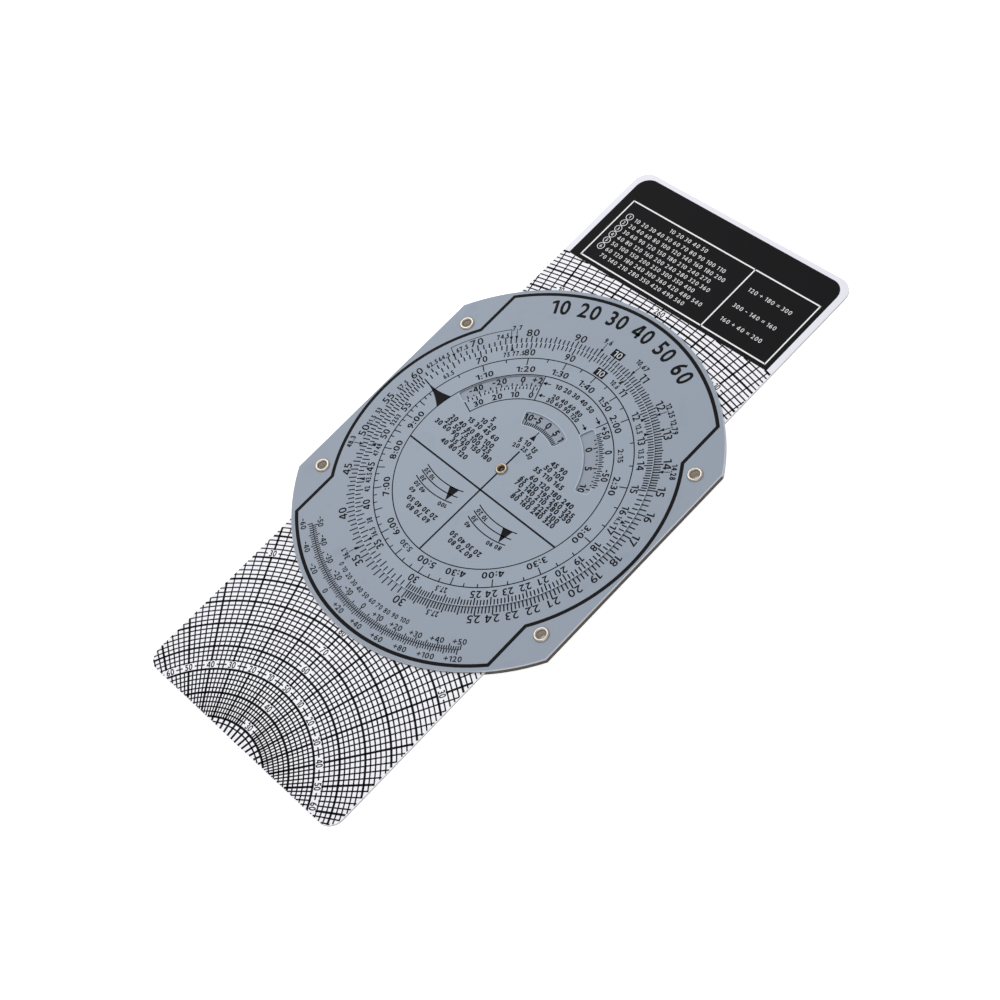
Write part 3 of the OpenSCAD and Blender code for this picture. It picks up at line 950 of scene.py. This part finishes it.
AIR_LOW, AIR_HIGH, AIR_LABEL_R, AIR_FIGURE = 33.6, 35.7, 37.6, 2.25
HEIGHT_LOW, HEIGHT_HIGH, HEIGHT_LABEL_R, HEIGHT_FIGURE = 33.0, 35.0, 30.7, 2.3
DENSITY_LOW, DENSITY_HIGH, DENSITY_LABEL_R, DENSITY_FIGURE = 17.6, 20.3, 22.4, 2.4
air = np.arange(-55, 21, 5)
plate_ink.ticks(air_angle(air), AIR_LOW, AIR_HIGH + 0.6 * (air % 10 == 0), WINDOW_TICK_W)
for value in range(-40, 21, 20):
    place = air_angle(value) - 1.1 * (value != 0)
    plate_ink.ring(signed(value), AIR_LABEL_R, place, AIR_FIGURE, weight=WINDOW_WEIGHT)
heights = np.arange(-2, 11)
plate_ink.ticks(height_angle(heights), HEIGHT_LOW - 0.8 * (heights % 5 == 0), HEIGHT_HIGH, WINDOW_TICK_W)
for value in (0, 5, 10):
    plate_ink.ring(str(value), HEIGHT_LABEL_R, height_angle(value), HEIGHT_FIGURE, weight=WINDOW_WEIGHT)
densities = np.arange(-10, 11)
density_reach = DENSITY_HIGH + 1.1 * (densities % 5 == 0)
plate_ink.ticks(density_angle(densities), DENSITY_LOW, density_reach, WINDOW_TICK_W)
for value in range(-10, 11, 5):
    place = density_angle(value) - 1.5 * (value < 0)
    plate_ink.ring(str(value), DENSITY_LABEL_R, place, DENSITY_FIGURE, weight=0.05)
plate_film = plate_ink.lay("front_plate_print", black_ink, PLATE_FACE, 1)

INK_PALE = (0.58, 0.62, 0.67, 1.0)
START_STRETCH, START_WEIGHT = 1.2, 0.005
pale_ink = ink_finish("pale_ink", INK_PALE, patchy=0.05, sheen=0.3)
plate_pale = Print()
plate_pale.ring("10", PLATE_START_R, SCALE_TURN, 2.35, stretch=START_STRETCH, weight=START_WEIGHT)
plate_pale_film = plate_pale.lay("front_plate_start_print", pale_ink, PLATE_FACE, 1, layer=1)
for film, slot in ((plate_film, "black_ink"), (plate_pale_film, "white_ink")):
    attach(film, "body")


# Calculator disc: a thin grey vinyl disc with three die-cut windows, turning on the pivot rivet.
# The moving scale runs round its rim with a ring of hours inside it, and the middle holds
# window scales, two lower quarters with small diagrams, and rows of plain numbers.
DISC_LOW, DISC_FACE = (corner.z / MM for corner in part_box("calculator_disc"))
DISC_TURN = 1.35
DISC_LABEL_R, DISC_FIGURE = 48.95, 2.55
DISC_START_R = 48.65
HOURS_OUTER, HOURS_INNER = 46.4, 39.42
HOUR_LABEL_R = 41.75
HOUR_FIGURE, SMALL_HOUR = 2.3, 1.85
BAND_INNER = 29.05
LEFT_END, LEFT_START = -70.65, -23.15
RIGHT_START = 25.85
LINE_THIN, LINE_THICK = 0.40, 0.66
ROW_FIGURE = 1.85
ROW_WEIGHT = 0.065
DISC_GREY = shade(SHEET_GREY, 1.06)

WINDOWS = ((39.2, 4.8, -46.0, 47.5), (34.0, 5.1, 49.8, 45.6), (24.3, 5.6, 1.4, 50.6))
WINDOW_CORNER = 0.9


def from_cut_edge(point):
    """The distance in millimetres to the nearest cut edge: the rim or the side of a window, which is given
    by its outer radius, radial height, clockwise middle and span, and has round corners."""
    radius = point.from_axis()
    angle = point.math("ARCTAN2", point.axis(0), point.axis(1)) * float(np.degrees(1))
    nearest = DISC_R - radius
    for outer, height, at, span in WINDOWS:
        middle = outer - height / 2
        across = abs(radius - middle) - (height / 2 - WINDOW_CORNER)
        along = (abs(angle - at) - span / 2) * float(np.radians(middle)) + WINDOW_CORNER
        past = point.math("MAXIMUM", across, 0.0).length(point.math("MAXIMUM", along, 0.0))
        nearest = point.math("MINIMUM", nearest, past - WINDOW_CORNER)
    return nearest


# The disc's face is painted paler close to its rim and its windows: a painted highlight.
disc_finish = sheet_finish("disc_vinyl", DISC_GREY, PALE_EDGE, DISC_LOW, DISC_FACE, cut_edge=from_cut_edge)
dress("calculator_disc", disc_finish)

disc_ink = Print()
dial_ticks(disc_ink, 0.0, DISC_R - 0.15, -1, short=2.1, half=2.5, whole=3.0)
plain_labels = [value for value in DIAL_LABELS if value != 60]
dial_labels(disc_ink, plain_labels, 0.0, DISC_LABEL_R, DISC_FIGURE, stretch=1.02, weight=0.03)
start_box(disc_ink, 0.0, DISC_START_R, width=4.75, height=START_HEIGHT)
INNER_BETWEEN = (10.6, 12.5, 13.5, 27.5, 36.5, 38, 42, 43.5, 47, 48, 52, 53, 63.5, 75, 77.5)
for values, radius, height in ((INNER_BETWEEN, 48.75, 1.85), ((16.5,), 48.9, 1.55)):
    dial_labels(disc_ink, values, 0.0, radius, height, SMALL_STRETCH, SMALL_WEIGHT)
INNER_GAUGES = (10.67, 12.22, 12.78, 16.5, 36.0, 43.4, 48.2, 76.1)
INNER_TIP, INNER_BASE, INNER_HALF = 52.0, 50.1, 0.72
for value in INNER_GAUGES:
    disc_ink.head(dial_angle(value), INNER_TIP, INNER_BASE, INNER_HALF)

disc_ink.arc(HOURS_OUTER, 0, 360, LINE_THIN)
disc_ink.arc(HOURS_INNER, 0, 360, LINE_THIN)
minutes = np.concatenate([np.arange(65, 120, 5), np.arange(120, 600, 10)])
whole_mark = np.where(minutes < 120, minutes % 10, minutes % 30) == 0
disc_ink.ticks(dial_angle(minutes / 10), HOURS_OUTER - 1.4 - 1.5 * whole_mark, HOURS_OUTER, LINE_THIN)
hour_figures = dict.fromkeys((*range(70, 120, 10), *range(120, 300, 30), *range(300, 600, 60)), HOUR_FIGURE)
for minute, height in (hour_figures | {135: SMALL_HOUR, 330: SMALL_HOUR}).items():
    text = f"{minute // 60}:{minute % 60:02d}"
    disc_ink.ring(text, HOUR_LABEL_R, dial_angle(minute / 10), height, stretch=1.2, weight=0.035)

SPEED_TIP, SPEED_POINT, SPEED_HALF, SPEED_CURVE = 52.6, 0.16, 4.6, 2.6
taper = np.linspace(0, 1, 24)
thorn_r = SPEED_TIP - taper * (SPEED_TIP - HOURS_INNER)
thorn_half = SPEED_POINT + (SPEED_HALF - SPEED_POINT) * taper**SPEED_CURVE
thorn_sides = [turned(dial_angle(60) + way * thorn_half)[0] * thorn_r[:, None] for way in (-1, 1)]
disc_ink.bands(thorn_sides[0][None], thorn_sides[1][None])

LEFT_END_R, RIGHT_START_R = 34.0, 35.0
disc_ink.arc(BAND_INNER, LEFT_END, RIGHT_START - 0.6, LINE_THIN)
disc_ink.ticks([LEFT_END], BAND_INNER - LINE_THIN / 2, LEFT_END_R, LINE_THIN)
disc_ink.ticks([LEFT_START], BAND_INNER, HOURS_INNER, LINE_THIN)
disc_ink.ticks([RIGHT_START], RIGHT_START_R, HOURS_INNER, LINE_THIN)


def thousands_angle(value):
    """The clockwise angle of a height on the left band, which opens out slowly as it rises."""
    return -26.95 - 1.08 * value - 0.004 * value**2


def outside_air_angle(value):
    """The clockwise angle of a temperature on the right band, which opens out towards the cold."""
    return 43.95 - 0.2795 * value + 0.00025 * value**2


LEFT_LOW, LEFT_HIGH, LEFT_LABEL_R, LEFT_FIGURE = 33.2, 34.32, 30.95, 2.2
RIGHT_LOW, RIGHT_HIGH, RIGHT_LABEL_R, RIGHT_FIGURE = 34.1, 35.5, 37.5, 2.35
thousands = np.arange(-2, 35, 2)
disc_ink.ticks(thousands_angle(thousands), LEFT_LOW - 1.0 * (thousands % 10 == 0), LEFT_HIGH, WINDOW_TICK_W)
for value in (0, 10, 20, 30):
    disc_ink.ring(str(value), LEFT_LABEL_R, thousands_angle(value), LEFT_FIGURE, weight=WINDOW_WEIGHT)
outside_air = np.arange(-75, 51, 5)
air_reach = RIGHT_HIGH + 0.55 * (outside_air % 10 == 0)
disc_ink.ticks(outside_air_angle(outside_air), RIGHT_LOW, air_reach, WINDOW_TICK_W)
for value in (-50, 0, 50):
    place = outside_air_angle(value) + 0.7 * (value > 0) - 0.3 * (value < 0)
    disc_ink.ring(signed(value), RIGHT_LABEL_R, place, RIGHT_FIGURE, stretch=0.9, weight=WINDOW_WEIGHT)

BAND_ROWS = ((36.6, 1.75), (32.6, 1.65), (30.6, 1.65))
BAND_REACH, BAND_MIDDLE = 33.6, 0.15
ARROW_HALF, ARROW_LENGTH = 0.8, 2.5
for step, (radius, height) in enumerate(BAND_ROWS, start=1):
    text = counted(disc_ink, 10 * step, radius * np.radians(BAND_REACH), height, ROW_WEIGHT)
    disc_ink.ring(text, radius, BAND_MIDDLE, height, weight=ROW_WEIGHT)
BAND_ARROWS = ((36.6, -17.8, -22.95), (36.6, 19.4, 24.9), (31.5, -17.2, -22.2), (31.5, 19.2, 24.5))
for radius, start, tip in BAND_ARROWS:
    base = turned(tip - np.sign(tip) * ARROW_LENGTH)[0]
    disc_ink.arc(radius, start, tip - np.sign(tip), LINE_THIN)
    disc_ink.patch([turned(tip)[0] * radius, base * (radius + ARROW_HALF), base * (radius - ARROW_HALF)])

POINTER_LOW, POINTER_HIGH = 17.0, 18.4
POINTER_TIP, POINTER_BASE, POINTER_HALF = 17.2, 14.6, 1.15
POINTER_ROWS = (("5 10 15", 12.8, 2.5, 1.85), ("20 25 30", 10.35, 3.5, 1.6))
disc_ink.ticks([0.0], POINTER_LOW, POINTER_HIGH, LINE_THIN)
disc_ink.head(0.0, POINTER_TIP, POINTER_BASE, POINTER_HALF)
for text, radius, angle, height in POINTER_ROWS:
    disc_ink.ring(text, radius, angle, height, weight=SMALL_WEIGHT)

UPPER_ROWS = (
    (-17.8, 12.5, 4.6), (-17.8, 9.95, 10.2), (-17.8, 7.4, 18.3),
    (-20.5, 4.4, 24.4), (-20.3, 2.2, 27.4), (-20.5, 0.0, 29.5), (-20.5, -2.2, 12.7), (-20.5, -4.4, 17.3),
    (16.5, 12.3, 10.9), (16.5, 9.85, 12.7), (16.5, 7.3, 14.2),
    (21.3, 4.1, 23.9), (21.3, 1.75, 27.4), (21.5, -0.4, 30.5), (21.3, -2.85, 21.3), (21.3, -5.0, 23.4),
)
for number, (x, y, width) in enumerate(UPPER_ROWS, start=1):
    text = counted(disc_ink, 5 * number, width, ROW_FIGURE, ROW_WEIGHT)
    disc_ink.row(text, (x, y), ROW_FIGURE, weight=ROW_WEIGHT)

QUARTER_Y = -10.3
MIDLINE_TOP, RIVET_CLEAR = 8.8, 1.8
quarter_half = np.sqrt(HOURS_INNER**2 - QUARTER_Y**2)
disc_ink.line((-quarter_half, QUARTER_Y), (quarter_half, QUARTER_Y), LINE_THICK)
disc_ink.line((0.0, MIDLINE_TOP), (0.0, RIVET_CLEAR), LINE_THICK)
disc_ink.line((0.0, -RIVET_CLEAR), (0.0, -HOURS_INNER), LINE_THICK)

SAG_R = 32.0
SAG_HALF = 17.5
SAG_LOWS = (-16.0, -18.8, -21.6)
SAG_FLAG = ((3.7, -15.6), (7.9, -15.1), (6.8, -20.9))
QUARTER_X = (-13.9, 14.0)
ARC_FIGURE, LOWER_FIGURE = 1.5, 1.75
ARC_LABELS = (
    (-19.9, -16.85, "10 20"), (-20.6, -19.5, "30"), (-18.9, -22.6, "40 50"), (-20.2, -25.0, "60"),
    (-6.6, -22.6, "100"),
    (8.1, -16.85, "10 20"), (7.0, -19.5, "30"), (6.8, -22.6, "40"), (20.4, -22.6, "80 90"),
)
LOWER_ROWS = (
    (-11.8, -27.7, "20 30 40 50"), (-11.2, -30.2, "60 70 80"),
    (11.8, -28.1, "20 30 40 50"), (11.6, -30.5, "60 70 80"),
)
for x, y, text in ARC_LABELS:
    lean = np.degrees(np.arcsin((QUARTER_X[x > 0] - x) / SAG_R))
    disc_ink.row(text, (x, y), ARC_FIGURE, turn=180.0 + lean, weight=ROW_WEIGHT)
for x, y, text in LOWER_ROWS:
    disc_ink.row(text, (x, y), LOWER_FIGURE, turn=180.0, weight=ROW_WEIGHT)
for middle_x in QUARTER_X:
    for low_y in SAG_LOWS:
        disc_ink.arc(SAG_R, 180 - SAG_HALF, 180 + SAG_HALF, LINE_THIN, (middle_x, low_y + SAG_R))
    disc_ink.patch(np.array(SAG_FLAG) + (middle_x, 0.0))
disc_film = disc_ink.lay("calculator_disc_print", black_ink, DISC_FACE, 1, turn=DISC_TURN)

disc_pale = Print()
disc_pale.ring("10", DISC_START_R, 0.0, 2.3, stretch=START_STRETCH, weight=START_WEIGHT)
disc_pale_film = disc_pale.lay("calculator_disc_start_print", pale_ink, DISC_FACE, 1, layer=1, turn=DISC_TURN)
for film, slot in ((disc_film, "black_ink"), (disc_pale_film, "white_ink")):
    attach(film, "calculator")


# Pivot: a hollow brass rivet rolled over the disc, on a thin white washer that keeps the disc
# clear of the plate's print.
PIVOT_BORE = 1.1
# The pivot's bore is painted dark: painted shade.
dress("pivot_eyelet", rivet_finish("pivot_brass", BRASS, polish=0.24, bore=PIVOT_BORE, painted_bore_tone=0.3))
dress("pivot_washer", slide_white)


# Corner rivets: four hollow eyelets of warm nickel-plated brass, drawn from strip and rolled
# over at the front, which hold the plates, the rails and the seat together.
NICKEL = (0.535, 0.485, 0.43, 1.0)
EYELET_BORE = 1.55
holes = frame["record"]["mounts"][0]["dims"]
EYELET_X, EYELET_Y = holes["spacing_x_mm"] / 2, holes["spacing_y_mm"] / 2
# From this height upwards the eyelets' bores are painted darker: painted shade under the rim.
RIM_SHADE_Z = PLATE_FACE - 0.2
# The eyelets' bores are painted a little paler than their coat, which is painted light.
nickel_finish = rivet_finish(
    "nickel", NICKEL, polish=0.28, bore=EYELET_BORE, painted_bore_tone=1.12, x=EYELET_X, y=EYELET_Y, rim_shade_z=RIM_SHADE_Z)
dress("corner_eyelets", nickel_finish)


# Studio: a pale floor, a bright even sky and two soft lamps, seen by a camera placed where the
# photograph was taken.
FLOOR_SIDE = 80.0
FLOOR_LEVEL = -0.02
FLOOR_WHITE = (0.92, 0.92, 0.92, 1.0)
FLOOR_GLOW, FLOOR_SHADE = 0.62, 0.24
SKY_GLOW = 0.59
PURE_WHITE = (1.0, 1.0, 1.0, 1.0)
CAMERA_PLACE = Vector((384.0, -149.03, 532.52)) * MM
CAMERA_VIEW = Vector((-0.5659, 0.2109, -0.7970))
CAMERA_UP = Vector((-0.4860, 0.6956, 0.5291))
CAMERA_LENS = 70.85
SENSOR = 36.0

corner = FLOOR_SIDE / 2
floor_mesh = bpy.data.meshes.new("floor")
floor_corners = [(x, y, FLOOR_LEVEL * MM) for x, y in upright(-corner, -corner, corner, corner)]
floor_mesh.from_pydata(floor_corners, [], [(0, 1, 2, 3)])


def floor_sockets(point):
    """Matt white board with the faintest clouding, lit from within so that shadows stay light, except under
    the rivets, whose bores look into shade."""
    clouds = point.noise(120.0)
    lit = point.from_axis(EYELET_X, EYELET_Y).step(3.0, 5.5)
    return {
        "Base Color": (lit * clouds).colours(shade(FLOOR_WHITE, 0.99), FLOOR_WHITE),
        "Roughness": 0.9,
        "Emission Color": lit.colours(shade(FLOOR_WHITE, FLOOR_SHADE), PURE_WHITE),
        "Emission Strength": FLOOR_GLOW,
    }


floor_mesh.materials.append(finish("white_board", floor_sockets))
floor = bpy.data.objects.new("floor", floor_mesh)
bpy.context.scene.collection.objects.link(floor)


def soft_lamp(name, place, size, power):
    """A square soft lamp that faces the middle of the part."""
    data = bpy.data.lights.new(name, "AREA")
    data.size = size
    data.energy = power
    lamp = bpy.data.objects.new(name, data)
    lamp.location = place
    lamp.rotation_euler = (-Vector(place)).to_track_quat("-Z", "Y").to_euler()
    bpy.context.scene.collection.objects.link(lamp)


soft_lamp("key_lamp", place=(-0.63, 0.16, 0.75), size=0.75, power=4.0)
soft_lamp("fill_lamp", place=(1.1, -0.6, 1.3), size=1.0, power=4.0)

sky = bpy.data.worlds.new("sky")
sky.use_nodes = True
sky_light = sky.node_tree.nodes["Background"]
sky_light.inputs["Color"].default_value = PURE_WHITE
sky_light.inputs["Strength"].default_value = SKY_GLOW
bpy.context.scene.world = sky
bpy.context.scene.view_settings.view_transform = "Standard"

camera_data = bpy.data.cameras.new("camera")
camera_data.sensor_width = SENSOR
camera_data.lens = CAMERA_LENS
camera = bpy.data.objects.new("camera", camera_data)
back = -CAMERA_VIEW.normalized()
up = (CAMERA_UP - back * CAMERA_UP.dot(back)).normalized()
aim = Matrix((up.cross(back), up, back)).transposed()
camera.matrix_world = Matrix.Translation(CAMERA_PLACE) @ aim.to_4x4()
bpy.context.scene.collection.objects.link(camera)
bpy.context.scene.camera = camera
